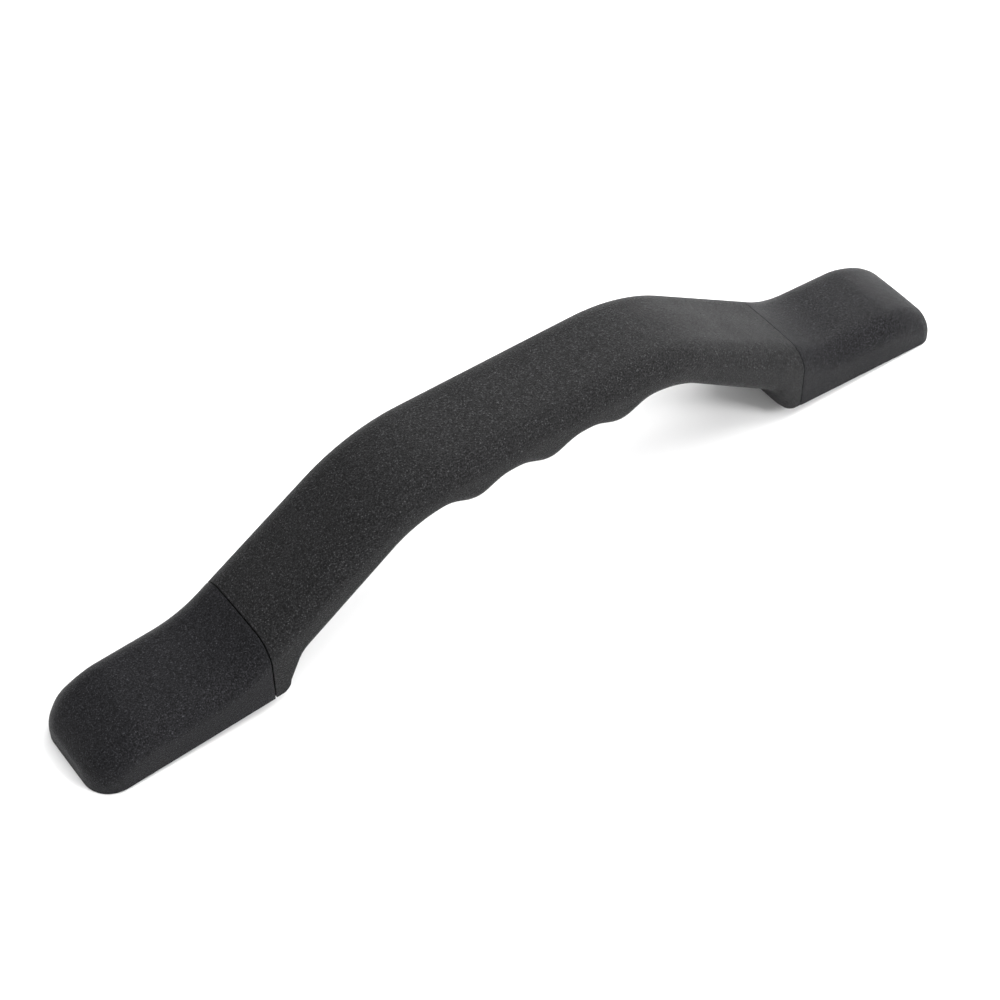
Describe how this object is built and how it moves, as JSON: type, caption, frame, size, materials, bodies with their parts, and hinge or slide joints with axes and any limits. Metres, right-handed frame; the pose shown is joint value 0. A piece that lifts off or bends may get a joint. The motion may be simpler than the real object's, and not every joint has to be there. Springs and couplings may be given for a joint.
{
  "type": "car door handle",
  "caption": "Arched car door grab handle with finger grooves under a moulded grip, a steel core strap and a lift-off cap over each bolted foot.",
  "frame": {"origin": "middle of the handle's length and width, at the height of the pads' lowest edges", "axes": "+X along the handle's length, +Y across it, +Z away from the panel it is bolted to"},
  "size_m": [0.28, 0.032, 0.0515],
  "materials": {
    "grip_vinyl": "fine moulded grain, black",
    "cap_plastic": "fine moulded grain, black, a little smoother than the grip",
    "carrier_nylon": "glass-filled nylon, dark grey",
    "pad_rubber": "matt foam rubber",
    "strap_steel": "plated bar",
    "bush_steel": "zinc plated",
    "clip_steel": "tempered spring strip"
  },
  "bodies": {
    "handle": {"grip": "grip_vinyl", "core_strap": "strap_steel", "left_pad": "pad_rubber", "left_carrier": "carrier_nylon", "left_bush": "bush_steel", "left_screw_near": "bush_steel", "left_screw_far": "bush_steel", "right_pad": "pad_rubber", "right_carrier": "carrier_nylon", "right_bush": "bush_steel", "right_screw_near": "bush_steel", "right_screw_far": "bush_steel"},
    "left_cover": {"left_cap": "cap_plastic", "left_clip_inner": "clip_steel", "left_clip_outer": "clip_steel"},
    "right_cover": {"right_cap": "cap_plastic", "right_clip_inner": "clip_steel", "right_clip_outer": "clip_steel"}
  },
  "joints": [
    {"name": "left_cap_lift", "type": "slide", "parent": "handle", "child": "left_cover", "axis": [-0.0645, 0, 0.9979], "range_m": [0, 0.04]},
    {"name": "right_cap_lift", "type": "slide", "parent": "handle", "child": "right_cover", "axis": [0.0645, 0, 0.9979], "range_m": [0, 0.04]}
  ]
}
